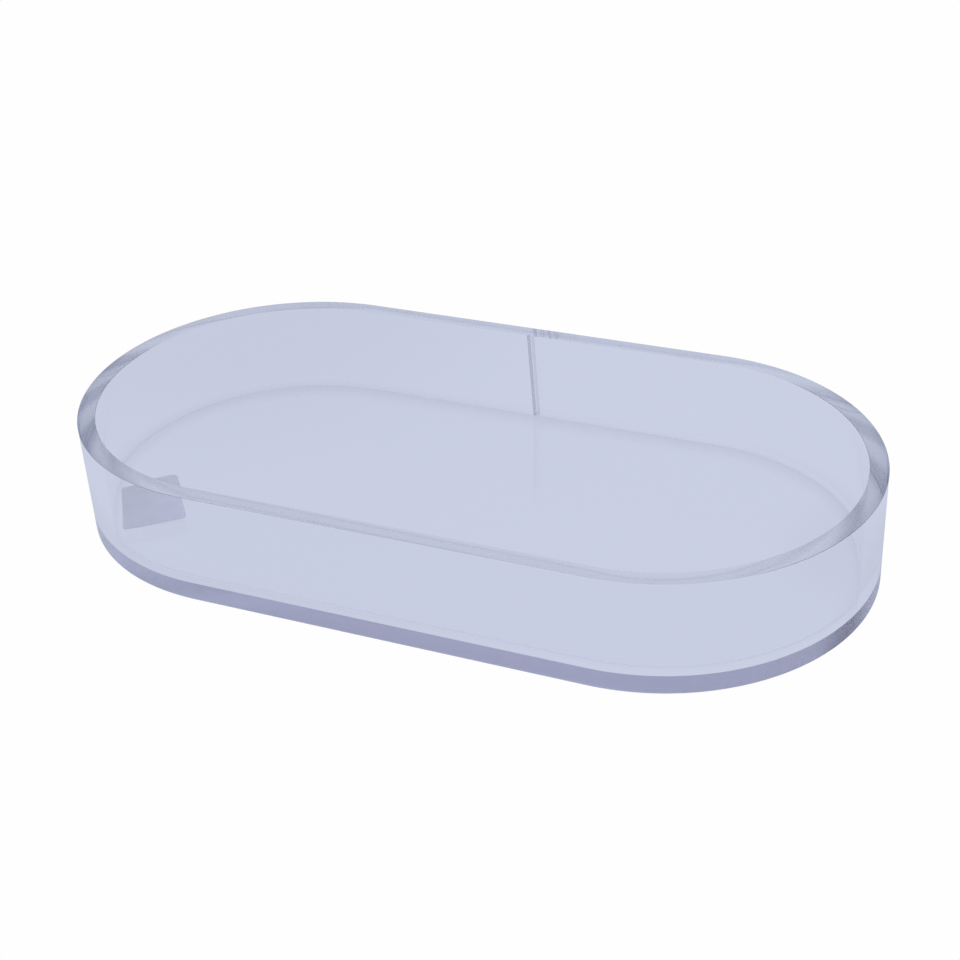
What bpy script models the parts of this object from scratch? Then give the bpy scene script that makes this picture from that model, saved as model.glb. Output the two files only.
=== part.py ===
"""Clear acrylic vanity tray with straight sides and half-round ends.

A flat base plate carries one upright wall band. The band is a single straight strip of sheet,
bent round both ends of the tray until its two ends meet just left of the middle of the back, in
a joint that leans a little further left towards its top. Its outer face is flush with the base plate's edge. Cement
holds the tray together: a strip of it fills the butt joint at the back, and a bead of it lies
in the corner between the wall's foot and the base plate. A blank paper label is stuck to the
base plate inside the left end.

The origin is the middle of the tray's underside. X runs along the tray, the joint in the wall
is on the +Y side, and Z is up. All sizes are in metres.
"""

import math

import bmesh
import bpy
from mathutils import Matrix, Vector

# Outside of the tray.
TRAY_LENGTH = 0.254
TRAY_WIDTH = 0.1305
TRAY_HEIGHT = 0.036

# Sheet that the two clear pieces are cut from.
BASE_THICKNESS = 0.006
WALL_THICKNESS = 0.0055
POLISHED_EDGE_RADIUS = 0.0004

# Cement.
SEAM_CEMENT_WIDTH = 0.0004
SEAM_OFFSET = 0.0016
SEAM_LEAN = 0.0013
BEAD_LEG = 0.0008

# Blank label, with its short side pointing out towards the tray's left end.
LABEL_REACH = 0.02
LABEL_BREADTH = 0.0254
LABEL_THICKNESS = 0.00015
LABEL_CORNER_RADIUS = 0.0015
LABEL_BEARING = math.radians(219.0)
LABEL_TILT = math.radians(2.0)

# Air left between neighbouring pieces, and between the label's corner and the bead.
JOINT_GAP = 0.0003
LABEL_CLEARANCE = 0.0002

# Straight steps that each half-round end and each small round edge is made of.
END_STEPS = 48
EDGE_STEPS = 2
LABEL_CORNER_STEPS = 4

# Sizes that follow from the ones above.
END_RADIUS = TRAY_WIDTH / 2
HALF_STRAIGHT = TRAY_LENGTH / 2 - END_RADIUS
INNER_RADIUS = END_RADIUS - WALL_THICKNESS
WALL_BOTTOM = BASE_THICKNESS + JOINT_GAP
WALL_HEIGHT = TRAY_HEIGHT - WALL_BOTTOM
WALL_END_X = SEAM_CEMENT_WIDTH / 2 + JOINT_GAP
UP = Vector((0.0, 0.0, 1.0))


def clear_scene():
    """Removes every object from the scene."""
    for obj in list(bpy.data.objects):
        bpy.data.objects.remove(obj, do_unlink=True)


def make_material(name, colour, roughness, transmission=0.0, ior=1.49):
    """A Principled material with a plain linear colour."""
    material = bpy.data.materials.new(name)
    material.use_nodes = True
    shader = material.node_tree.nodes["Principled BSDF"]
    shader.inputs["Base Color"].default_value = (*colour, 1.0)
    shader.inputs["Roughness"].default_value = roughness
    shader.inputs["Metallic"].default_value = 0.0
    shader.inputs["Transmission Weight"].default_value = transmission
    shader.inputs["IOR"].default_value = ior
    material.diffuse_color = (*colour, 1.0)
    return material


def add_piece(name, bm, material, parent, location=(0.0, 0.0, 0.0), turn=0.0):
    """Makes a named object from a bmesh, turned about Z, moved and parented."""
    bmesh.ops.recalc_face_normals(bm, faces=bm.faces)
    mesh = bpy.data.meshes.new(name)
    bm.to_mesh(mesh)
    bm.free()
    mesh.shade_smooth()
    mesh.set_sharp_from_angle(angle=math.radians(30.0))
    mesh.materials.append(material)
    obj = bpy.data.objects.new(name, mesh)
    bpy.context.scene.collection.objects.link(obj)
    obj.parent = parent
    obj.location = location
    obj.rotation_euler.z = turn
    return obj


def sweep(bm, geometry, centre=(0.0, 0.0, 0.0), angle=0.0, slide=(0.0, 0.0, 0.0), steps=1):
    """Draws geometry out along a turn about Z or along a slide, and returns its far end."""
    drawn = bmesh.ops.spin(
        bm,
        geom=geometry,
        cent=centre,
        axis=UP,
        dvec=slide,
        angle=angle,
        steps=steps,
        use_duplicate=False,
    )
    return drawn["geom_last"]


def carry_round_tray(bm, geometry, start_x=0.0):
    """Carries geometry once round the tray, from x = -start_x at the back to x = +start_x."""
    half_back = (start_x - HALF_STRAIGHT, 0.0, 0.0)
    whole_front = (2 * HALF_STRAIGHT, 0.0, 0.0)
    geometry = sweep(bm, geometry, slide=half_back)
    geometry = sweep(bm, geometry, centre=(-HALF_STRAIGHT, 0.0, 0.0), angle=math.pi, steps=END_STEPS)
    geometry = sweep(bm, geometry, slide=whole_front)
    geometry = sweep(bm, geometry, centre=(HALF_STRAIGHT, 0.0, 0.0), angle=math.pi, steps=END_STEPS)
    return sweep(bm, geometry, slide=half_back)


def flat_profile(bm, corners, x=0.0):
    """A face in the plane of one x, from its (y, z) corners."""
    return bm.faces.new([bm.verts.new((x, y, z)) for y, z in corners])


def round_vertices(bm, vertices, radius, steps):
    """Rounds the corners of a flat face at the given vertices."""
    bmesh.ops.bevel(
        bm,
        geom=vertices,
        offset=radius,
        offset_type="OFFSET",
        affect="VERTICES",
        segments=steps,
        profile=0.5,
        material=-1,
    )


def place_seam(bm, vertices, foot_z):
    """Moves points of the joint to its place left of the middle, and leans them from foot_z up."""
    slope = Matrix.Identity(4)
    slope[0][2] = -SEAM_LEAN / WALL_HEIGHT
    fixed = Matrix.Translation(UP * foot_z)
    aside = Matrix.Translation((-SEAM_OFFSET, 0.0, 0.0))
    bmesh.ops.transform(bm, matrix=aside @ fixed @ slope @ fixed.inverted(), verts=vertices)


def build_base_plate(parent):
    """The flat plate, with its lower edge polished round and its upper edge left square."""
    bm = bmesh.new()
    first = bm.verts.new((0.0, END_RADIUS, 0.0))
    carry_round_tray(bm, [first])
    bmesh.ops.remove_doubles(bm, verts=bm.verts, dist=1e-6)
    underside = bmesh.ops.contextual_create(bm, geom=bm.edges[:])["faces"]
    lower_edges = [edge for face in underside for edge in face.edges]
    raised = bmesh.ops.extrude_face_region(bm, geom=underside, use_keep_orig=True)["geom"]
    upper_points = [item for item in raised if isinstance(item, bmesh.types.BMVert)]
    bmesh.ops.translate(bm, verts=upper_points, vec=UP * BASE_THICKNESS)
    bmesh.ops.bevel(
        bm,
        geom=lower_edges,
        offset=POLISHED_EDGE_RADIUS,
        offset_type="OFFSET",
        affect="EDGES",
        segments=EDGE_STEPS,
        profile=0.5,
        material=-1,
    )
    acrylic = make_material("clear_acrylic_base", (0.58, 0.62, 0.76), 0.04, transmission=1.0)
    return add_piece("base_plate", bm, acrylic, parent)


def build_wall_band(parent):
    """The bent strip, whose two ends face each other across the cement at the back."""
    bm = bmesh.new()
    corners = [
        (END_RADIUS, 0.0),
        (END_RADIUS, WALL_HEIGHT),
        (INNER_RADIUS, WALL_HEIGHT),
        (INNER_RADIUS, 0.0),
    ]
    strip_end = flat_profile(bm, corners, x=-WALL_END_X)
    rim_corners = [vertex for vertex in strip_end.verts if vertex.co.z > WALL_HEIGHT / 2]
    round_vertices(bm, rim_corners, POLISHED_EDGE_RADIUS, EDGE_STEPS)
    carry_round_tray(bm, bm.faces[:], start_x=WALL_END_X)
    strip_ends = [vertex for vertex in bm.verts if abs(vertex.co.x) < HALF_STRAIGHT / 2]
    place_seam(bm, strip_ends, foot_z=0.0)
    acrylic = make_material("clear_acrylic_wall", (0.58, 0.62, 0.76), 0.04, transmission=1.0)
    return add_piece("wall_band", bm, acrylic, parent, location=(0.0, 0.0, WALL_BOTTOM))


def build_seam_cement(parent):
    """The upright strip of cement in the butt joint, as deep and as tall as the wall."""
    bm = bmesh.new()
    size = Vector((SEAM_CEMENT_WIDTH, WALL_THICKNESS, WALL_HEIGHT))
    bmesh.ops.create_cube(bm, size=1.0, matrix=Matrix.Diagonal(size.to_4d()))
    rim_edges = [edge for edge in bm.edges if all(end.co.z > 0.0 for end in edge.verts)]
    rim_edges = [edge for edge in rim_edges if abs(edge.verts[0].co.x - edge.verts[1].co.x) > 0.0]
    bmesh.ops.bevel(
        bm,
        geom=rim_edges,
        offset=POLISHED_EDGE_RADIUS,
        offset_type="OFFSET",
        affect="EDGES",
        segments=EDGE_STEPS,
        profile=0.5,
        material=-1,
    )
    place_seam(bm, bm.verts[:], foot_z=-WALL_HEIGHT / 2)
    cement = make_material("seam_cement", (0.30, 0.33, 0.42), 0.25, transmission=0.6)
    place = (0.0, END_RADIUS - WALL_THICKNESS / 2, WALL_BOTTOM + WALL_HEIGHT / 2)
    return add_piece("seam_cement", bm, cement, parent, location=place)


def build_foot_bead(parent):
    """The closed ring of cement in the corner between the wall's foot and the base plate."""
    bm = bmesh.new()
    outer = INNER_RADIUS - JOINT_GAP
    corners = [(outer, 0.0), (outer, BEAD_LEG), (outer - BEAD_LEG, 0.0)]
    section = flat_profile(bm, corners)
    outline = section.edges[:]
    bmesh.ops.delete(bm, geom=[section], context="FACES_ONLY")
    carry_round_tray(bm, outline)
    bmesh.ops.remove_doubles(bm, verts=bm.verts, dist=1e-6)
    cement = make_material("bead_cement", (0.45, 0.48, 0.60), 0.2, transmission=0.8)
    return add_piece("foot_bead", bm, cement, parent, location=(0.0, 0.0, WALL_BOTTOM))


def label_distance():
    """How far the label's middle is from the centre of the left end.

    The label sits as far out as it can with its outermost corner clear of the bead.
    """
    furthest = INNER_RADIUS - JOINT_GAP - BEAD_LEG - LABEL_CLEARANCE
    reach, breadth = LABEL_REACH / 2, LABEL_BREADTH / 2
    along = reach * math.cos(LABEL_TILT) + breadth * math.sin(LABEL_TILT)
    across = breadth * math.cos(LABEL_TILT) - reach * math.sin(LABEL_TILT)
    return math.sqrt(furthest**2 - across**2) - along


def build_label(parent):
    """The blank label, a thin rectangle with rounded corners."""
    bm = bmesh.new()
    size = Vector((LABEL_REACH, LABEL_BREADTH, 1.0))
    bmesh.ops.create_grid(
        bm,
        x_segments=1,
        y_segments=1,
        size=0.5,
        matrix=Matrix.Diagonal(size.to_4d()),
    )
    round_vertices(bm, bm.verts[:], LABEL_CORNER_RADIUS, LABEL_CORNER_STEPS)
    raised = bmesh.ops.extrude_face_region(bm, geom=bm.faces[:], use_keep_orig=True)["geom"]
    upper_points = [item for item in raised if isinstance(item, bmesh.types.BMVert)]
    bmesh.ops.translate(bm, verts=upper_points, vec=UP * LABEL_THICKNESS)
    paper = make_material("label_paper", (0.42, 0.46, 0.57), 0.6)
    outwards = Vector((math.cos(LABEL_BEARING), math.sin(LABEL_BEARING), 0.0))
    place = outwards * label_distance()
    place.x -= HALF_STRAIGHT
    place.z = BASE_THICKNESS + JOINT_GAP
    return add_piece("label", bm, paper, parent, location=place, turn=LABEL_BEARING + LABEL_TILT)


def main():
    """Builds the tray round an empty at its origin."""
    clear_scene()
    tray = bpy.data.objects.new("vanity_tray", None)
    bpy.context.scene.collection.objects.link(tray)
    build_base_plate(tray)
    build_wall_band(tray)
    build_seam_cement(tray)
    build_foot_bead(tray)
    build_label(tray)


main()
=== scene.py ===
"""Looks of the clear acrylic vanity tray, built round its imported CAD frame.

The two sheets of acrylic, the cement in their joints and the paper label each get a finish of
their own. The sheets are modelled again with finer round ends, because clear plastic shows
every facet, and they close up the working gaps that the CAD pieces keep between them.

Everything is in metres, in the frame's own axes: X along the tray, +Y its back, Z up.
"""

import logging
import math
from dataclasses import dataclass
from enum import Enum

import bmesh
import bpy
from mathutils import Matrix, Vector


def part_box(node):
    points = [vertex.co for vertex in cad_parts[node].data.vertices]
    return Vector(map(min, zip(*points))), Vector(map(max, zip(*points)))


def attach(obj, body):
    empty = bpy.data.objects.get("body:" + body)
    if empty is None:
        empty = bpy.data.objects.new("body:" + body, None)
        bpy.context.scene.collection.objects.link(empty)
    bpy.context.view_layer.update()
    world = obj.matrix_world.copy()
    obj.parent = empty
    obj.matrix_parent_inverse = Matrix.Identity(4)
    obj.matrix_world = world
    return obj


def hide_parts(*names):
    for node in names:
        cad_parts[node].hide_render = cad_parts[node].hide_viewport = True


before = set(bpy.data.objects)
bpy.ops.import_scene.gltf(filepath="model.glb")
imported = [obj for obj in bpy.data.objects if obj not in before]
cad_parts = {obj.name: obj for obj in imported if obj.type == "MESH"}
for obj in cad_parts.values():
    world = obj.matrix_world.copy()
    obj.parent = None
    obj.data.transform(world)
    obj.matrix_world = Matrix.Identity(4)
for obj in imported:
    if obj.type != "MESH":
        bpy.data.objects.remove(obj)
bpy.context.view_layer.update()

log = logging.getLogger("vanity_tray")

Colour = tuple[float, float, float]
Feed = bpy.types.NodeSocket | float | Colour
Element = bmesh.types.BMVert | bmesh.types.BMEdge | bmesh.types.BMFace
UP = Vector((0.0, 0.0, 1.0))
SAME_LEVEL = 0.00001
MERGE_DISTANCE = 0.000001


class Slot(Enum):
    """The record's material slots."""

    BASE = "acrylic_base"
    WALL = "acrylic_wall"
    SEAM = "seam_cement"
    BEAD = "bead_cement"
    LABEL = "label_paper"


class WorkedEdge(Enum):
    """Which edge of a sheet has been cut and polished."""

    OUTSIDE = "the upright edge all round a flat plate"
    RIM = "the top edge of an upright wall"


@dataclass(frozen=True)
class TraySizes:
    """Sizes of the tray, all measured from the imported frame."""

    end_radius: float
    half_straight: float
    base_thickness: float
    wall_thickness: float
    wall_top: float
    joint_gap: float
    seam_half_width: float
    seam_offset: float
    seam_lean: float
    bead_leg: float

    @classmethod
    def from_frame(cls) -> "TraySizes":
        """Reads the sizes off the CAD nodes' boxes.

        Returns:
            The sizes, in metres.
        """
        base_low, base_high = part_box("base_plate")
        wall_low, wall_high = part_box("wall_band")
        seam_low, seam_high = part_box("seam_cement")
        bead_low, bead_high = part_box("foot_bead")
        seam_points = [vertex.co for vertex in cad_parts["seam_cement"].data.vertices]
        foot = [point.x for point in seam_points if point.z < seam_low.z + SAME_LEVEL]
        return cls(
            end_radius=base_high.y,
            half_straight=base_high.x - base_high.y,
            base_thickness=base_high.z - base_low.z,
            wall_thickness=seam_high.y - seam_low.y,
            wall_top=wall_high.z,
            joint_gap=wall_low.z - base_high.z,
            seam_half_width=(max(foot) - min(foot)) / 2,
            seam_offset=-(max(foot) + min(foot)) / 2,
            seam_lean=min(foot) - seam_low.x,
            bead_leg=bead_high.z - bead_low.z,
        )

    @property
    def inner_radius(self) -> float:
        """Distance from the middle line of the tray to the inside of its wall."""
        return self.end_radius - self.wall_thickness

    @property
    def wall_end(self) -> float:
        """Distance of each end of the bent strip from the middle of the joint."""
        return self.seam_half_width + self.joint_gap


class NodeSheet:
    """A node tree, with short calls that add nodes and join their sockets."""

    def __init__(self, tree: bpy.types.NodeTree) -> None:
        """Keeps the tree that the nodes go into."""
        self.tree = tree

    def add(self, kind: str, **settings: object) -> bpy.types.Node:
        """Adds a node to the right of the last one.

        Args:
            kind: Blender's name for the type of node.
            settings: Values for the node's own options.

        Returns:
            The new node.
        """
        node = self.tree.nodes.new(kind)
        node.location.x = 200.0 * len(self.tree.nodes)
        for name, value in settings.items():
            setattr(node, name, value)
        return node

    def feed(self, target: bpy.types.NodeSocket, value: Feed) -> None:
        """Joins a socket to an input, or sets the input to a plain value.

        Args:
            target: The input.
            value: What goes into it.
        """
        if isinstance(value, bpy.types.NodeSocket):
            self.tree.links.new(value, target)
        elif isinstance(value, tuple):
            padding = (1.0,) * (len(target.default_value) - len(value))
            target.default_value = (*value, *padding)
        else:
            target.default_value = value

    def math(self, operation: str, *values: Feed) -> bpy.types.NodeSocket:
        """The result of a Math node.

        Args:
            operation: The node's operation.
            values: Its inputs, in order.

        Returns:
            The node's output.
        """
        node = self.add("ShaderNodeMath", operation=operation)
        for target, value in zip(node.inputs, values):
            self.feed(target, value)
        return node.outputs[0]

    def split(self, vector: bpy.types.NodeSocket) -> bpy.types.NodeOutputs:
        """Splits a vector.

        Args:
            vector: The vector.

        Returns:
            Its X, Y and Z, by name.
        """
        node = self.add("ShaderNodeSeparateXYZ")
        self.feed(node.inputs[0], vector)
        return node.outputs

    def step(self, value: Feed, low: float, high: float) -> bpy.types.NodeSocket:
        """A mask that rises smoothly from 0 at low to 1 at high.

        Args:
            value: What the mask is read from.
            low: Where the mask starts to rise.
            high: Where the mask is full.

        Returns:
            The mask.
        """
        node = self.add("ShaderNodeMapRange", interpolation_type="SMOOTHSTEP")
        self.feed(node.inputs["Value"], value)
        self.feed(node.inputs["From Min"], low)
        self.feed(node.inputs["From Max"], high)
        return node.outputs["Result"]

    def blend(self, share: Feed, first: Feed, second: Feed) -> bpy.types.NodeSocket:
        """Blends two numbers.

        Args:
            share: How much of the second there is, from 0 to 1.
            first: The number at 0.
            second: The number at 1.

        Returns:
            The blended number.
        """
        node = self.add("ShaderNodeMix", data_type="FLOAT")
        for place, value in zip((0, 2, 3), (share, first, second)):
            self.feed(node.inputs[place], value)
        return node.outputs[0]

    def blend_colours(self, share: Feed, first: Feed, second: Feed) -> bpy.types.NodeSocket:
        """Blends two colours.

        Args:
            share: How much of the second there is, from 0 to 1.
            first: The colour at 0.
            second: The colour at 1.

        Returns:
            The blended colour.
        """
        node = self.add("ShaderNodeMix", data_type="RGBA")
        for place, value in zip((0, 6, 7), (share, first, second)):
            self.feed(node.inputs[place], value)
        return node.outputs[2]

    def noise(self, vector: Feed, scale: float, detail: float = 2.0) -> bpy.types.NodeSocket:
        """A noise pattern.

        Args:
            vector: The coordinates that it is read at.
            scale: How many bumps there are to a metre.
            detail: How many finer layers are added.

        Returns:
            The noise, around 0.5.
        """
        node = self.add("ShaderNodeTexNoise")
        self.feed(node.inputs["Vector"], vector)
        self.feed(node.inputs["Scale"], scale)
        self.feed(node.inputs["Detail"], detail)
        return node.outputs[0]

    def stretched(self, vector: Feed, turn: float, scale: Colour) -> bpy.types.NodeSocket:
        """Coordinates turned about Z, and then scaled.

        Args:
            vector: The coordinates.
            turn: The angle, in degrees.
            scale: The scale along each axis.

        Returns:
            The changed coordinates.
        """
        node = self.add("ShaderNodeMapping", vector_type="POINT")
        self.feed(node.inputs["Vector"], vector)
        node.inputs["Rotation"].default_value = (0.0, 0.0, math.radians(turn))
        node.inputs["Scale"].default_value = scale
        return node.outputs[0]

    def bump(self, height: Feed, distance: float = 1.0) -> bpy.types.NodeSocket:
        """A normal that follows small changes of height.

        Args:
            height: The height.
            distance: How many metres a height of 1 stands for.

        Returns:
            The normal.
        """
        node = self.add("ShaderNodeBump")
        self.feed(node.inputs["Distance"], distance)
        self.feed(node.inputs["Height"], height)
        return node.outputs["Normal"]

    def group(self, tree: bpy.types.NodeTree, **inputs: Feed) -> bpy.types.Node:
        """Places a node group.

        Args:
            tree: The group.
            inputs: Its inputs, with _ for each space in a name.

        Returns:
            The group's node.
        """
        node = self.add("ShaderNodeGroup", node_tree=tree)
        for name, value in inputs.items():
            self.feed(node.inputs[name.replace("_", " ")], value)
        return node


@dataclass(frozen=True)
class Marks:
    """How big and how common the small marks on the tray are.

    A scale is a number of bumps to a metre. A fade says from which noise value a mark starts to
    show, and at which it shows in full.
    """

    haze_scale: float = 28.0
    haze_detail: float = 4.0
    haze_fade: tuple[float, float] = (0.45, 0.75)
    scratch_turns: tuple[float, ...] = (24.0, -58.0)
    scratch_stretch: Colour = (9.0, 1600.0, 9.0)
    scratch_fade: tuple[float, float] = (0.70, 0.78)
    worn_scale: float = 45.0
    worn_fade: tuple[float, float] = (0.48, 0.66)
    stroke_stretch: Colour = (1.0, 1.0, 0.2)
    stroke_scale: float = 420.0
    stroke_detail: float = 3.0
    dull_scale: float = 70.0
    dull_fade: tuple[float, float] = (0.42, 0.62)
    bubble_spacing: float = 3.0
    bubble_fade: tuple[float, float] = (0.12, 0.22)
    wave_scale: float = 650.0


class SharedEffects:
    """Node groups that more than one finish uses, each made once."""

    def __init__(self, sizes: TraySizes, marks: Marks) -> None:
        """Makes every group.

        Args:
            sizes: The tray's sizes.
            marks: The sizes of the marks on it.
        """
        self.marks = marks
        self.place = self._place_on_tray(sizes.half_straight)
        self.wear = self._handling_wear()
        self.polish = self._polished_edge()
        self.cement = self._cement_grain()

    @staticmethod
    def _open_group(
        name: str, inputs: dict[str, str], outputs: list[str]
    ) -> tuple[NodeSheet, bpy.types.Node, bpy.types.Node]:
        """Starts a node group.

        Args:
            name: The group's name.
            inputs: The socket type of each input, by name.
            outputs: The names of its outputs, which are all numbers.

        Returns:
            The group's sheet, its input node and its output node.
        """
        tree = bpy.data.node_groups.new(name, "ShaderNodeTree")
        for socket, kind in inputs.items():
            tree.interface.new_socket(name=socket, in_out="INPUT", socket_type=kind)
        for socket in outputs:
            tree.interface.new_socket(name=socket, in_out="OUTPUT", socket_type="NodeSocketFloat")
        sheet = NodeSheet(tree)
        return sheet, sheet.add("NodeGroupInput"), sheet.add("NodeGroupOutput")

    def _place_on_tray(self, half_straight: float) -> bpy.types.NodeTree:
        """Where a point is, told by the tray's own outline.

        Args:
            half_straight: Half the length of the tray's straight sides.

        Returns:
            A group that gives the distance out from the tray's middle line, the angle round the
            nearer end, which end that is (-1 or 1), and the height.
        """
        inputs = {"Point": "NodeSocketVector"}
        outputs = ["Outward", "End Angle", "End Side", "Height"]
        sheet, given, made = self._open_group("place_on_tray", inputs, outputs)
        point = sheet.split(given.outputs["Point"])
        along = sheet.math("SUBTRACT", sheet.math("ABSOLUTE", point["X"]), half_straight)
        past = sheet.math("MAXIMUM", along, 0.0)
        squares = [sheet.math("POWER", side, 2.0) for side in (past, point["Y"])]
        sheet.feed(made.inputs["Outward"], sheet.math("SQRT", sheet.math("ADD", *squares)))
        sheet.feed(made.inputs["End Angle"], sheet.math("ARCTAN2", point["Y"], along))
        sheet.feed(made.inputs["End Side"], sheet.math("SIGN", point["X"]))
        sheet.feed(made.inputs["Height"], point["Z"])
        return sheet.tree

    def _handling_wear(self) -> bpy.types.NodeTree:
        """Marks of use on clear plastic.

        Returns:
            A group that gives patches of faint haze, and fine scratches in two directions.
        """
        marks = self.marks
        inputs = {"Point": "NodeSocketVector", "Scratches": "NodeSocketFloat"}
        sheet, given, made = self._open_group("handling_wear", inputs, ["Haze", "Scratch"])
        point = given.outputs["Point"]
        patches = sheet.noise(point, marks.haze_scale, marks.haze_detail)
        sheet.feed(made.inputs["Haze"], sheet.step(patches, *marks.haze_fade))
        lines = []
        for turn in marks.scratch_turns:
            streaks = sheet.noise(sheet.stretched(point, turn, marks.scratch_stretch), scale=1.0)
            lines.append(sheet.step(streaks, *marks.scratch_fade))
        worn = sheet.step(sheet.noise(point, marks.worn_scale), *marks.worn_fade)
        cut = sheet.math("MULTIPLY", sheet.math("MAXIMUM", *lines), worn)
        shown = sheet.math("MULTIPLY", cut, given.outputs["Scratches"])
        sheet.feed(made.inputs["Scratch"], shown)
        return sheet.tree

    def _polished_edge(self) -> bpy.types.NodeTree:
        """What polishing leaves on a cut edge.

        Returns:
            A group that gives a rippled height, and patches that took the polish less well.
        """
        marks = self.marks
        inputs = {"Point": "NodeSocketVector"}
        sheet, given, made = self._open_group("polished_edge", inputs, ["Ripple", "Dull"])
        point = given.outputs["Point"]
        drawn = sheet.stretched(point, 0.0, marks.stroke_stretch)
        strokes = sheet.noise(drawn, marks.stroke_scale, marks.stroke_detail)
        patches = sheet.noise(point, marks.dull_scale)
        sheet.feed(made.inputs["Ripple"], strokes)
        sheet.feed(made.inputs["Dull"], sheet.step(patches, *marks.dull_fade))
        return sheet.tree

    def _cement_grain(self) -> bpy.types.NodeTree:
        """Tiny bubbles and waves in set cement.

        Returns:
            A group that gives a mask of the bubbles, and the waves on the surface.
        """
        marks = self.marks
        inputs = {"Point": "NodeSocketVector", "Bubble Size": "NodeSocketFloat"}
        sheet, given, made = self._open_group("cement_grain", inputs, ["Bubbles", "Waves"])
        point = given.outputs["Point"]
        cells = sheet.add("ShaderNodeTexVoronoi")
        sheet.feed(cells.inputs["Vector"], point)
        spacing = sheet.math("MULTIPLY", given.outputs["Bubble Size"], marks.bubble_spacing)
        sheet.feed(cells.inputs["Scale"], sheet.math("DIVIDE", 1.0, spacing))
        outside = sheet.step(cells.outputs["Distance"], *marks.bubble_fade)
        sheet.feed(made.inputs["Bubbles"], sheet.math("SUBTRACT", 1.0, outside))
        sheet.feed(made.inputs["Waves"], sheet.noise(point, marks.wave_scale))
        return sheet.tree


def open_material(name: str) -> tuple[bpy.types.Material, NodeSheet, bpy.types.Node]:
    """Starts a material with one Principled shader.

    Args:
        name: The material's name.

    Returns:
        The material, its sheet of nodes, and its shader.
    """
    material = bpy.data.materials.new(name)
    material.use_nodes = True
    sheet = NodeSheet(material.node_tree)
    return material, sheet, material.node_tree.nodes["Principled BSDF"]


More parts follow.
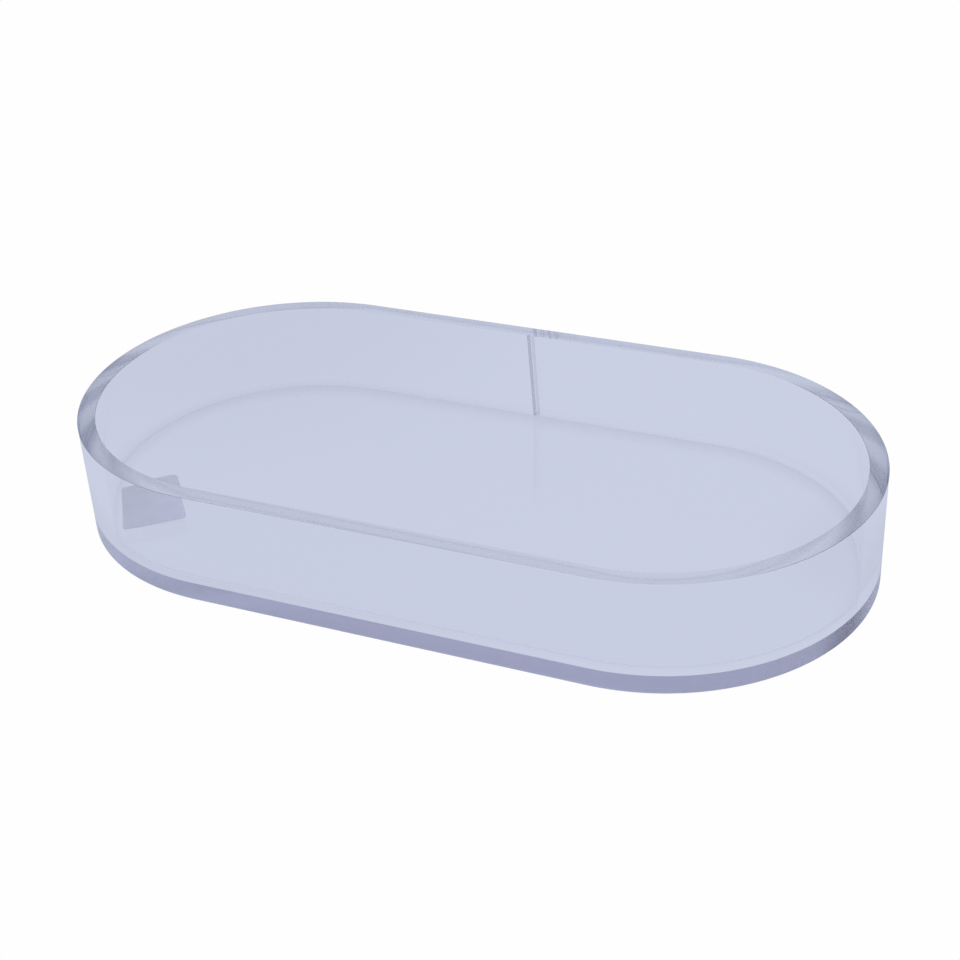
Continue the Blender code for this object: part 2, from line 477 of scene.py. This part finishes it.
@dataclass(frozen=True)
class ClearAcrylic:
    """Clear cast acrylic sheet, with one cut and polished edge.

    The edge's finish starts at the first distance of edge_depth in from the edge, and is full at
    the second. Round the tray's ends the edge turns towards painted_shading_tint, which is painted
    light and shade rather than a colour of the sheet: painted shade on the band's rim, where dark
    surroundings show through the bent sheet, and painted light on the plate's edge.
    painted_shading_turns gives the middle of the painted patch at the left and the right end, in
    degrees, and painted_shading_fade how far either side of it the tint reaches. It does so evenly
    by even_shares, nearer the outside by outer_share, and in slanted bands by band_share. The
    bands' wave goes through end_bands radians to a radian round the end and band_slant radians to
    a metre outwards, and starts at band_starts.
    """

    name: str
    worked_edge: WorkedEdge
    edge_depth: tuple[float, float]
    absorption: float
    tint: Colour = (0.985, 0.987, 0.995)
    # the worked edge's tint; on the plate it is painted shade on the edge band
    edge_shade_tint: Colour = (0.98, 0.985, 0.995)
    # painted shade: the dark tint of the rim's bands round the tray's ends
    painted_shading_tint: Colour = (0.28, 0.30, 0.365)
    face_roughness: float = 0.0
    haze_roughness: float = 0.012
    edge_roughness: float = 0.08
    dull_roughness: float = 0.13
    refraction: float = 1.49
    passed_colour: Colour = (0.19, 0.15, 0.44)
    scratches: float = 1.0
    scratch_depth: float = 0.000002
    ripple_depth: float = 0.000012
    painted_shading_turns: tuple[float, float] = (-27.5, 16.5)
    painted_shading_fade: tuple[float, float] = (23.0, 61.0)
    even_shares: tuple[float, float] = (0.42, 0.28)
    outer_share: float = 0.2
    band_share: float = 0.48
    end_bands: float = 15.5
    band_slant: float = 512.0
    band_starts: tuple[float, float] = (0.1, -1.1)
    band_softness: float = 0.9

    def material(self, sizes: TraySizes, effects: SharedEffects) -> bpy.types.Material:
        """Makes the finish.

        Args:
            sizes: The tray's sizes, which say where the worked edge is.
            effects: The shared node groups.

        Returns:
            The material.
        """
        material, sheet, shader = open_material(self.name)
        point = sheet.add("ShaderNodeTexCoord").outputs["Object"]
        place = sheet.group(effects.place, Point=point)
        wear = sheet.group(effects.wear, Point=point, Scratches=self.scratches)
        polish = sheet.group(effects.polish, Point=point)
        edge = self._edge_mask(sheet, place, sizes)

        # painted shade on the band's rim round the ends, painted light on the plate's edge
        shading_share = self._painted_shading_bands(sheet, place, sizes)
        edge_shade_colour = sheet.blend_colours(shading_share, self.edge_shade_tint, self.painted_shading_tint)
        sheet.feed(shader.inputs["Base Color"], sheet.blend_colours(edge, self.tint, edge_shade_colour))

        face = sheet.blend(wear.outputs["Haze"], self.face_roughness, self.haze_roughness)
        worked = sheet.blend(polish.outputs["Dull"], self.edge_roughness, self.dull_roughness)
        sheet.feed(shader.inputs["Roughness"], sheet.blend(edge, face, worked))

        cut = sheet.math("MULTIPLY", wear.outputs["Scratch"], -self.scratch_depth)
        ripple = sheet.math("MULTIPLY", polish.outputs["Ripple"], self.ripple_depth)
        sheet.feed(shader.inputs["Normal"], sheet.bump(sheet.blend(edge, cut, ripple)))

        sheet.feed(shader.inputs["Transmission Weight"], 1.0)
        sheet.feed(shader.inputs["Metallic"], 0.0)
        sheet.feed(shader.inputs["IOR"], self.refraction)
        inside = sheet.add("ShaderNodeVolumeAbsorption")
        sheet.feed(inside.inputs["Color"], self.passed_colour)
        sheet.feed(inside.inputs["Density"], self.absorption)
        output = material.node_tree.nodes["Material Output"]
        sheet.feed(output.inputs["Volume"], inside.outputs["Volume"])
        return material

    def _edge_mask(
        self, sheet: NodeSheet, place: bpy.types.Node, sizes: TraySizes
    ) -> bpy.types.NodeSocket:
        """Where the worked edge is.

        Args:
            sheet: The material's nodes.
            place: The node that says where a point is.
            sizes: The tray's sizes.

        Returns:
            A mask that is 1 on the worked edge.
        """
        if self.worked_edge is WorkedEdge.RIM:
            measure, edge = place.outputs["Height"], sizes.wall_top
        else:
            measure, edge = place.outputs["Outward"], sizes.end_radius
        starts, full = self.edge_depth
        return sheet.step(measure, edge - starts, edge - full)

    def _painted_shading_bands(
        self, sheet: NodeSheet, place: bpy.types.Node, sizes: TraySizes
    ) -> bpy.types.NodeSocket:
        """Soft bands of painted shade across the worked edge round the tray's ends; on the plate,
        painted light.

        Args:
            sheet: The material's nodes.
            place: The node that says where a point is.
            sizes: The tray's sizes.

        Returns:
            A mask of the painted shading bands.
        """
        angle, outward = place.outputs["End Angle"], place.outputs["Outward"]
        side = sheet.step(place.outputs["End Side"], -1.0, 1.0)
        middle = sheet.blend(side, *map(math.radians, self.painted_shading_turns))
        away = sheet.math("ABSOLUTE", sheet.math("SUBTRACT", angle, middle))
        past = sheet.step(away, *map(math.radians, self.painted_shading_fade))
        shading_window = sheet.math("SUBTRACT", 1.0, past)

        turns = sheet.math("MULTIPLY", angle, self.end_bands)
        slant = sheet.math("MULTIPLY", outward, self.band_slant)
        start = sheet.blend(side, *self.band_starts)
        wave = sheet.math("SINE", sheet.math("ADD", sheet.math("ADD", turns, slant), start))
        bands = sheet.step(wave, -self.band_softness, self.band_softness)
        bands = sheet.math("MULTIPLY", bands, self.band_share)
        middle_line = sizes.end_radius - sizes.wall_thickness / 2
        outer = sheet.step(outward, middle_line, sizes.end_radius)
        outer = sheet.math("MULTIPLY", outer, self.outer_share)
        even = sheet.blend(side, *self.even_shares)
        shares = sheet.math("ADD", sheet.math("ADD", bands, outer), even)
        return sheet.math("MULTIPLY", shading_window, shares)


@dataclass(frozen=True)
class SetCement:
    """Acrylic cement that has set, clear but for small bubbles.

    Its tint changes from inside_colour at the wall's inner face, through colour, to
    outside_colour at the outer one.
    """

    name: str
    colour: Colour
    bubble_colour: Colour
    inside_colour: Colour
    outside_colour: Colour
    roughness: float
    transmission: float
    bubble_size: float
    refraction: float
    skin_depth: float = 0.0001
    face_depth: float = 0.0008
    bubble_share: float = 0.5
    bubble_roughness: float = 0.3
    wave_depth: float = 0.000005

    def material(self, sizes: TraySizes, effects: SharedEffects) -> bpy.types.Material:
        """Makes the finish.

        Args:
            sizes: The tray's sizes, which say where the faces of its wall are.
            effects: The shared node groups.

        Returns:
            The material.
        """
        material, sheet, shader = open_material(self.name)
        point = sheet.add("ShaderNodeTexCoord").outputs["Object"]
        outward = sheet.group(effects.place, Point=point).outputs["Outward"]
        inner, outer = sizes.inner_radius, sizes.end_radius
        past_inside = sheet.step(outward, inner + self.skin_depth, inner + self.face_depth)
        near_outside = sheet.step(outward, outer - self.face_depth, outer - self.skin_depth)
        body = sheet.blend_colours(past_inside, self.inside_colour, self.colour)
        body = sheet.blend_colours(near_outside, body, self.outside_colour)
        grain = sheet.group(effects.cement, Point=point, Bubble_Size=self.bubble_size)
        bubbles = grain.outputs["Bubbles"]
        bubble_share = sheet.math("MULTIPLY", bubbles, self.bubble_share)
        colour = sheet.blend_colours(bubble_share, body, self.bubble_colour)
        roughness = sheet.blend(bubbles, self.roughness, self.bubble_roughness)
        sheet.feed(shader.inputs["Base Color"], colour)
        sheet.feed(shader.inputs["Roughness"], roughness)
        sheet.feed(shader.inputs["Normal"], sheet.bump(grain.outputs["Waves"], self.wave_depth))
        sheet.feed(shader.inputs["Transmission Weight"], self.transmission)
        sheet.feed(shader.inputs["Metallic"], 0.0)
        sheet.feed(shader.inputs["IOR"], self.refraction)
        return material


@dataclass(frozen=True)
class LabelPaper:
    """Plain matt label paper, with a fine fibre that is a little cloudy."""

    name: str = "label_paper"
    colour: Colour = (0.90, 0.90, 0.975)
    fibre_colour: Colour = (0.82, 0.825, 0.91)
    roughness: float = 0.62
    fibre_turn: float = 40.0
    fibre_stretch: Colour = (1.0, 0.35, 1.0)
    fibre_scale: float = 2600.0
    fibre_detail: float = 4.0
    fibre_depth: float = 0.00001
    cloud_scale: float = 180.0
    cloud_fade: tuple[float, float] = (0.35, 0.7)

    def material(self) -> bpy.types.Material:
        """Makes the finish.

        Returns:
            The material.
        """
        material, sheet, shader = open_material(self.name)
        point = sheet.add("ShaderNodeTexCoord").outputs["Object"]
        drawn = sheet.stretched(point, self.fibre_turn, self.fibre_stretch)
        fibres = sheet.noise(drawn, self.fibre_scale, self.fibre_detail)
        cloudy = sheet.step(sheet.noise(point, self.cloud_scale), *self.cloud_fade)
        share = sheet.math("MULTIPLY", fibres, cloudy)
        colour = sheet.blend_colours(share, self.colour, self.fibre_colour)
        sheet.feed(shader.inputs["Base Color"], colour)
        sheet.feed(shader.inputs["Roughness"], self.roughness)
        sheet.feed(shader.inputs["Normal"], sheet.bump(fibres, self.fibre_depth))
        return material


def middle_of(element: Element) -> tuple[int, ...]:
    """Where an element of a mesh is.

    Args:
        element: A vertex, an edge or a face.

    Returns:
        The middle of its corners, in whole merge distances.
    """
    corners = [element] if isinstance(element, bmesh.types.BMVert) else element.verts
    middle = sum((corner.co for corner in corners), Vector()) / len(corners)
    return tuple(round(value / MERGE_DISTANCE) for value in middle)


@dataclass
class TrayPiece:
    """A piece of the tray that stands for one CAD node.

    Edges that turn by more than sharp_angle, in degrees, are shaded sharp.
    """

    sizes: TraySizes
    end_steps: int = 144
    contact_gap: float = 0.00002
    sharp_angle: float = 40.0

    def sweep(
        self,
        bm: bmesh.types.BMesh,
        geometry: list,
        centre: tuple = (0.0, 0.0, 0.0),
        angle: float = 0.0,
        slide: tuple = (0.0, 0.0, 0.0),
        steps: int = 1,
    ) -> list:
        """Draws geometry out along a turn about Z, or along a slide.

        Args:
            bm: The mesh.
            geometry: What is drawn out.
            centre: The centre of the turn.
            angle: The angle of the turn.
            slide: How far each step slides.
            steps: How many steps there are.

        Returns:
            The geometry at the far end.
        """
        drawn = bmesh.ops.spin(
            bm,
            geom=geometry,
            cent=centre,
            axis=UP,
            dvec=slide,
            angle=angle,
            steps=steps,
            use_duplicate=False,
        )
        return drawn["geom_last"]

    def carry_round(self, bm: bmesh.types.BMesh, geometry: list) -> None:
        """Carries geometry once round the tray, from the middle of its back, and closes it.

        Args:
            bm: The mesh.
            geometry: What is carried, lying in the plane x = 0.
        """
        half = self.sizes.half_straight
        half_back = (-half, 0.0, 0.0)
        geometry = self.sweep(bm, geometry, slide=half_back)
        geometry = self.sweep(bm, geometry, (-half, 0.0, 0.0), math.pi, steps=self.end_steps)
        geometry = self.sweep(bm, geometry, slide=(2.0 * half, 0.0, 0.0))
        geometry = self.sweep(bm, geometry, (half, 0.0, 0.0), math.pi, steps=self.end_steps)
        self.sweep(bm, geometry, slide=half_back)
        bmesh.ops.remove_doubles(bm, verts=bm.verts, dist=MERGE_DISTANCE)

    def place_joint(self, bm: bmesh.types.BMesh) -> None:
        """Moves a mesh to the wall's joint, left of the middle, and leans it as the joint leans.

        Args:
            bm: The mesh, upright and in the middle of the back.
        """
        foot, top = self.sizes.base_thickness + self.sizes.joint_gap, self.sizes.wall_top
        slope = Matrix.Identity(4)
        slope[0][2] = -self.sizes.seam_lean / (top - foot)
        raised = Matrix.Translation(UP * foot)
        aside = Matrix.Translation((-self.sizes.seam_offset, 0.0, 0.0))
        leant = raised @ slope @ raised.inverted()
        bmesh.ops.transform(bm, matrix=aside @ leant, verts=bm.verts[:])

    def soften(self, bm: bmesh.types.BMesh, geometry: list, easing: float, affect: str) -> None:
        """Takes the sharpness off edges or corners with a narrow flat.

        Args:
            bm: The mesh.
            geometry: The edges or vertices.
            easing: How far the flat reaches down each side.
            affect: EDGES or VERTICES.
        """
        bmesh.ops.bevel(
            bm,
            geom=geometry,
            offset=easing,
            offset_type="OFFSET",
            affect=affect,
            segments=1,
            profile=0.5,
            material=-1,
        )

    @staticmethod
    def settle_order(bm: bmesh.types.BMesh) -> None:
        """Puts a mesh's elements in order of their place, so that every run gives the same mesh.

        Args:
            bm: The mesh.
        """
        for elements in (bm.verts, bm.edges, bm.faces):
            for rank, element in enumerate(sorted(elements, key=middle_of)):
                element.index = rank
            elements.sort()

    def finish_piece(
        self,
        bm: bmesh.types.BMesh,
        name: str,
        material: bpy.types.Material,
        node: str,
        slot: Slot,
    ) -> bpy.types.Object:
        """Turns a mesh into a finished piece that rides on the tray.

        Args:
            bm: The mesh, which is freed.
            name: The piece's name.
            material: Its finish.
            node: The CAD node that it stands for.
            slot: The record's slot for its finish. It is not used.

        Returns:
            The piece.
        """
        bmesh.ops.recalc_face_normals(bm, faces=bm.faces)
        self.settle_order(bm)
        mesh = bpy.data.meshes.new(name)
        bm.to_mesh(mesh)
        bm.free()
        mesh.shade_smooth()
        mesh.set_sharp_from_angle(angle=math.radians(self.sharp_angle))
        mesh.materials.append(material)
        piece = bpy.data.objects.new(name, mesh)
        bpy.context.scene.collection.objects.link(piece)
        flat_faces = piece.modifiers.new("flat_faces", "WEIGHTED_NORMAL")
        flat_faces.mode = "FACE_AREA"
        flat_faces.keep_sharp = True
        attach(piece, "root")
        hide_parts(node)
        log.info("%s: %d faces, stands for %s", name, len(mesh.polygons), node)
        return piece


@dataclass
class BasePlate(TrayPiece):
    """The flat plate, cut square and with its lower edge eased."""

    lower_easing: float = 0.0001

    def build(self, material: bpy.types.Material) -> bpy.types.Object:
        """Models the plate.

        Args:
            material: Its finish.

        Returns:
            The piece.
        """
        bm = bmesh.new()
        self.carry_round(bm, [bm.verts.new((0.0, self.sizes.end_radius, 0.0))])
        underside = bmesh.ops.contextual_create(bm, geom=bm.edges[:])["faces"]
        lower_edges = list(underside[0].edges)
        raised = bmesh.ops.extrude_face_region(bm, geom=underside, use_keep_orig=True)["geom"]
        upper_points = [item for item in raised if isinstance(item, bmesh.types.BMVert)]
        bmesh.ops.translate(bm, verts=upper_points, vec=UP * self.sizes.base_thickness)
        self.soften(bm, lower_edges, self.lower_easing, "EDGES")
        return self.finish_piece(bm, "base_plate_sheet", material, "base_plate", Slot.BASE)


@dataclass
class WallBand(TrayPiece):
    """The strip bent round until its ends meet, square at its foot and eased at its rim."""

    rim_easing: float = 0.00006

    def build(self, material: bpy.types.Material) -> bpy.types.Object:
        """Models the strip.

        Args:
            material: Its finish.

        Returns:
            The piece.
        """
        foot = self.sizes.base_thickness + self.contact_gap
        outside, inside = self.sizes.end_radius, self.sizes.inner_radius
        corners = [
            (outside, foot),
            (outside, self.sizes.wall_top),
            (inside, self.sizes.wall_top),
            (inside, foot),
        ]
        bm = bmesh.new()
        points = [bm.verts.new((0.0, y, z)) for y, z in corners]
        bm.faces.new(points)
        self.soften(bm, points[1:3], self.rim_easing, "VERTICES")
        section = bm.faces[:][0]
        outline = list(section.edges)
        bmesh.ops.delete(bm, geom=[section], context="FACES_ONLY")
        self.carry_round(bm, outline)
        return self.finish_piece(bm, "wall_band_sheet", material, "wall_band", Slot.WALL)


@dataclass
class SeamCement(TrayPiece):
    """The strip of cement in the wall's upright joint, which has wetted the acrylic all round."""

    skin: float = 0.00003
    top_easing: float = 0.0001

    def build(self, material: bpy.types.Material) -> bpy.types.Object:
        """Models the strip.

        Args:
            material: Its finish.

        Returns:
            The piece.
        """
        sizes = self.sizes
        foot = sizes.base_thickness + self.contact_gap + self.skin
        top = sizes.wall_top - self.skin
        depth = sizes.end_radius - sizes.wall_thickness / 2 - self.skin
        middle = Vector((0.0, depth, (top + foot) / 2))
        size = Vector((2.0 * sizes.wall_end, sizes.wall_thickness, top - foot))
        bm = bmesh.new()
        bmesh.ops.create_cube(bm, size=1.0, matrix=Matrix.LocRotScale(middle, None, size))
        upper = [edge for edge in bm.edges if all(end.co.z > middle.z for end in edge.verts)]
        self.soften(bm, upper, self.top_easing, "EDGES")
        self.place_joint(bm)
        return self.finish_piece(bm, "seam_cement_strip", material, "seam_cement", Slot.SEAM)


@dataclass
class FootBead(TrayPiece):
    """The hollow-faced bead of cement in the corner between the wall and the base plate."""

    hollow_steps: int = 6

    def build(self, material: bpy.types.Material) -> bpy.types.Object:
        """Models the bead.

        Args:
            material: Its finish.

        Returns:
            The piece.
        """
        sizes = self.sizes
        floor = sizes.base_thickness + self.contact_gap
        corner = sizes.inner_radius - self.contact_gap
        leg = sizes.bead_leg + sizes.joint_gap
        bm = bmesh.new()
        top = bm.verts.new((0.0, corner, floor + leg))
        bmesh.ops.spin(
            bm,
            geom=[top],
            cent=(0.0, corner - leg, floor + leg),
            axis=(1.0, 0.0, 0.0),
            angle=-math.pi / 2,
            steps=self.hollow_steps,
            use_duplicate=False,
        )
        hidden = bm.verts.new((0.0, corner, floor))
        toe = min(bm.verts, key=lambda vertex: vertex.co.y)
        for end in (top, toe):
            bm.edges.new((hidden, end))
        self.carry_round(bm, bm.edges[:])
        return self.finish_piece(bm, "foot_cement_bead", material, "foot_bead", Slot.BEAD)


@dataclass
class Label:
    """The blank paper label, which keeps its CAD mesh."""

    node: bpy.types.Object

    def dress(self, material: bpy.types.Material) -> bpy.types.Object:
        """Gives the label its paper.

        Args:
            material: Its finish.

        Returns:
            The piece.
        """
        self.node.data.materials.clear()
        self.node.data.materials.append(material)
        log.info("%s: keeps its CAD mesh", self.node.name)
        return self.node


@dataclass(frozen=True)
class SoftShade:
    """A round patch of very soft shade on the floor."""

    centre: tuple[float, float]
    core: float
    reach: float
    share: float


@dataclass
class Studio:
    """A pale floor and plain soft light, with a camera above the tray's front right."""

    sizes: TraySizes
    effects: SharedEffects
    backdrop: Colour = (0.991, 0.991, 0.991)
    surround: Colour = (0.603, 0.640, 0.774)
    horizon_share: float = 0.75
    overhead_from: float = 0.5
    left_share: float = 0.94
    left_fade: tuple[float, float] = (0.25, 0.5)
    floor_size: float = 2.0
    floor_drop: float = 0.0003
    contact_share: float = 0.92
    contact_inside: tuple[float, float] = (0.010, 0.002)
    contact_outside: tuple[float, float] = (0.001, 0.014)
    shades: tuple[SoftShade, ...] = (
        SoftShade(centre=(-0.15, 0.11), core=0.03, reach=0.15, share=0.05),
        SoftShade(centre=(0.125, 0.02), core=0.01, reach=0.04, share=0.05),
    )
    azimuth: float = 24.51
    elevation: float = 31.62
    roll: float = -3.25
    camera_distance: float = 0.5491
    aim_right: float = 0.0027
    aim_up: float = 0.0132
    focal_length: float = 65.5
    sensor_width: float = 36.0
    nearest_seen: float = 0.01
    bounces: int = 40
    clear_bounces: int = 32

    def build(self) -> None:
        """Sets up the floor, the light and the camera."""
        self._build_floor()
        self._build_light()
        self._build_camera()
        scene = bpy.context.scene
        scene.view_settings.view_transform = "Standard"
        scene.cycles.max_bounces = self.bounces
        scene.cycles.glossy_bounces = self.clear_bounces
        scene.cycles.transmission_bounces = self.clear_bounces
        log.info("studio: floor, light and camera")

    def _build_floor(self) -> None:
        """Makes the floor, which is in soft contact shade round the tray's outline."""
        bm = bmesh.new()
        lowered = Matrix.Translation(UP * -self.floor_drop)
        bmesh.ops.create_grid(bm, x_segments=1, y_segments=1, size=self.floor_size, matrix=lowered)
        mesh = bpy.data.meshes.new("floor")
        bm.to_mesh(mesh)
        bm.free()
        mesh.materials.append(self._floor_material())
        floor = bpy.data.objects.new("floor", mesh)
        bpy.context.scene.collection.objects.link(floor)

    def _floor_material(self) -> bpy.types.Material:
        """Makes the floor's glow.

        Returns:
            The material.
        """
        material = bpy.data.materials.new("studio_floor")
        material.use_nodes = True
        sheet = NodeSheet(material.node_tree)
        point = sheet.add("ShaderNodeTexCoord").outputs["Object"]
        outward = sheet.group(self.effects.place, Point=point).outputs["Outward"]
        side = self.sizes.end_radius
        under = sheet.step(outward, *(side - inwards for inwards in self.contact_inside))
        past = sheet.step(outward, *(side + outwards for outwards in self.contact_outside))
        contact = sheet.math("SUBTRACT", under, past)
        strength = sheet.blend(contact, 1.0, self.contact_share)
        for shade in self.shades:
            away = sheet.add("ShaderNodeVectorMath", operation="DISTANCE")
            sheet.feed(away.inputs[0], point)
            sheet.feed(away.inputs[1], (*shade.centre, -self.floor_drop))
            past = sheet.step(away.outputs["Value"], shade.core, shade.reach)
            kept = sheet.blend(past, 1.0 - shade.share, 1.0)
            strength = sheet.math("MULTIPLY", strength, kept)
        around, seen = sheet.add("ShaderNodeEmission"), sheet.add("ShaderNodeEmission")
        sheet.feed(around.inputs["Color"], self.surround)
        sheet.feed(around.inputs["Strength"], strength)
        sheet.feed(seen.inputs["Color"], self.backdrop)
        mix = sheet.add("ShaderNodeMixShader")
        sheet.feed(mix.inputs[0], sheet.add("ShaderNodeLightPath").outputs["Is Camera Ray"])
        sheet.feed(mix.inputs[1], around.outputs[0])
        sheet.feed(mix.inputs[2], seen.outputs[0])
        sheet.feed(material.node_tree.nodes["Material Output"].inputs["Surface"], mix.outputs[0])
        return material

    def _build_light(self) -> None:
        """Makes the light, which is dimmer towards the horizon and a little dimmer on the left."""
        world = bpy.data.worlds.new("soft_studio")
        world.use_nodes = True
        bpy.context.scene.world = world
        sheet = NodeSheet(world.node_tree)
        towards = sheet.split(sheet.add("ShaderNodeTexCoord").outputs["Generated"])
        height = sheet.step(towards["Z"], 0.0, self.overhead_from)
        leftward = sheet.step(sheet.math("MULTIPLY", towards["X"], -1.0), *self.left_fade)
        horizon = tuple(channel * self.horizon_share for channel in self.surround)
        around = sheet.blend_colours(height, horizon, self.surround)
        direct = sheet.add("ShaderNodeLightPath").outputs["Is Camera Ray"]
        background = world.node_tree.nodes["Background"]
        sheet.feed(background.inputs["Color"], sheet.blend_colours(direct, around, self.backdrop))
        dimmed = sheet.blend(leftward, 1.0, self.left_share)
        sheet.feed(background.inputs["Strength"], sheet.blend(direct, dimmed, 1.0))

    def _build_camera(self) -> None:
        """Makes the camera and places it."""
        azimuth, elevation = math.radians(self.azimuth), math.radians(self.elevation)
        roll = math.radians(self.roll)
        back = Vector((math.sin(azimuth), -math.cos(azimuth), 0.0)) * math.cos(elevation)
        back.z = math.sin(elevation)
        level = Vector((math.cos(azimuth), math.sin(azimuth), 0.0))
        upright = back.cross(level)
        right = level * math.cos(roll) + upright * math.sin(roll)
        above = upright * math.cos(roll) - level * math.sin(roll)
        data = bpy.data.cameras.new("camera")
        data.lens = self.focal_length
        data.sensor_width = self.sensor_width
        data.clip_start = self.nearest_seen
        camera = bpy.data.objects.new("camera", data)
        bpy.context.scene.collection.objects.link(camera)
        camera.matrix_world = Matrix((right, above, back)).transposed().to_4x4()
        camera.location = (
            right * self.aim_right + above * self.aim_up + back * self.camera_distance
        )
        bpy.context.scene.camera = camera


PLATE = ClearAcrylic(
    name="clear_acrylic_plate",
    worked_edge=WorkedEdge.OUTSIDE,
    edge_depth=(0.0005, 0.0002),
    absorption=2.0,
    # painted shade: darkens the plate's polished edge band, which is dark from light carried along
    # inside the sheet
    edge_shade_tint=(0.74, 0.745, 0.82),
    # painted light: lifts a dark patch on the plate's edge at the right end
    painted_shading_tint=(0.96, 0.965, 0.985),
    edge_roughness=0.13,
    dull_roughness=0.18,
    painted_shading_turns=(-48.0, -20.0),
    painted_shading_fade=(5.0, 22.0),
    even_shares=(1.0, 1.0),
    outer_share=0.0,
    band_share=0.0,
)
STRIP = ClearAcrylic(
    name="clear_acrylic_band",
    worked_edge=WorkedEdge.RIM,
    edge_depth=(0.00008, 0.00004),
    absorption=0.8,
)
SEAM = SetCement(
    name="seam_cement",
    colour=(0.955, 0.958, 0.97),
    bubble_colour=(0.84, 0.845, 0.88),
    inside_colour=(0.57, 0.575, 0.62),
    outside_colour=(0.79, 0.795, 0.83),
    roughness=0.03,
    transmission=1.0,
    bubble_size=0.0002,
    refraction=1.01,
)
BEAD = SetCement(
    name="bead_cement",
    colour=(0.985, 0.987, 0.99),
    bubble_colour=(0.96, 0.965, 0.98),
    inside_colour=(0.985, 0.987, 0.99),
    outside_colour=(0.985, 0.987, 0.99),
    roughness=0.2,
    transmission=1.0,
    bubble_size=0.00025,
    refraction=1.04,
    bubble_share=0.2,
    wave_depth=0.000002,
)


def main() -> None:
    """Builds the tray's looks and the studio round it."""
    logging.basicConfig(level=logging.INFO, format="%(name)s: %(message)s")
    sizes = TraySizes.from_frame()
    effects = SharedEffects(sizes, Marks())
    Studio(sizes, effects).build()
    BasePlate(sizes).build(PLATE.material(sizes, effects))
    WallBand(sizes).build(STRIP.material(sizes, effects))
    SeamCement(sizes).build(SEAM.material(sizes, effects))
    FootBead(sizes).build(BEAD.material(sizes, effects))
    Label(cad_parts["label"]).dress(LabelPaper().material())


if __name__ == "__main__":
    main()
